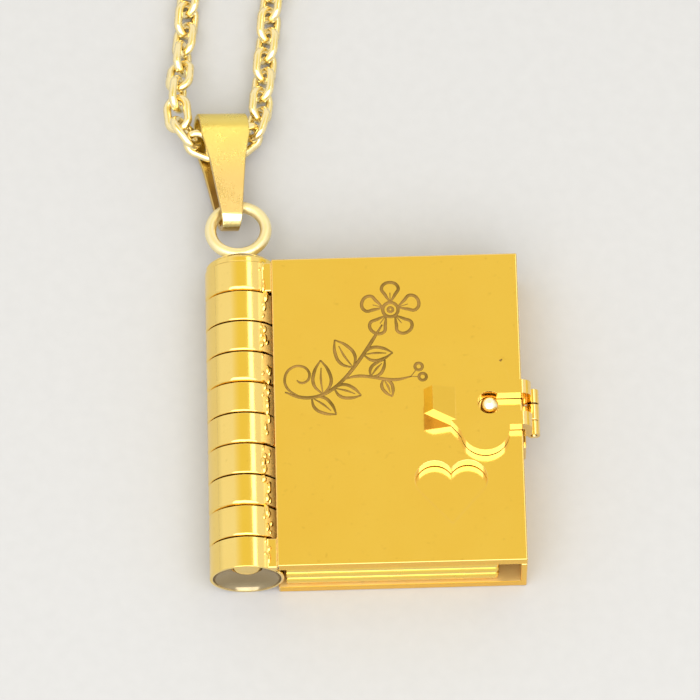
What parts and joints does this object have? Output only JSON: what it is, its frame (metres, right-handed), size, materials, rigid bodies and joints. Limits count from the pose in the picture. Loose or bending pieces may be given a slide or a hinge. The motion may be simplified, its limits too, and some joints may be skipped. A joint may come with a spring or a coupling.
{
  "type": "book locket pendant",
  "caption": "Book locket pendant on a cable chain: hinged metal leaves on a barrel spine, a heart window in the cover and a heart-shaped snap clasp.",
  "frame": {"origin": "centre of the back cover's rear face, on the surface that the shut locket lies on", "axes": "+X from the spine to the fore-edge, +Y up the book towards the bail and chain, +Z out of the front cover"},
  "size_m": [0.1299, 0.2025, 0.0087],
  "materials": {
    "gilt_cover": "polished gilt",
    "gilt_page": "polished gilt, duller than the cover",
    "gilt_clasp": "polished gilt",
    "gilt_bail": "satin gilt",
    "gilt_chain": "polished pale gilt"
  },
  "bodies": {
    "back": {"back_cover": "gilt_cover", "page_3": "gilt_page", "page_2": "gilt_page", "page_1": "gilt_page", "spine_pin": "gilt_chain", "clasp_pin": "gilt_clasp", "bail": "gilt_bail", "chain_left": "gilt_chain", "chain_right": "gilt_chain", "chain_fastener": "gilt_chain"},
    "front": {"front_cover": "gilt_cover"},
    "clasp": {"clasp_latch": "gilt_clasp"}
  },
  "joints": [
    {"name": "front_cover_hinge", "type": "hinge", "parent": "back", "child": "front", "pos_m": [-0.0125, 0, 0.003], "axis": [0, -1, 0], "range_deg": [0, 175]},
    {"name": "clasp_hinge", "type": "hinge", "parent": "back", "child": "clasp", "pos_m": [0.0109, 0, 0.0046], "axis": [0, 1, 0], "range_deg": [0, 165]}
  ]
}
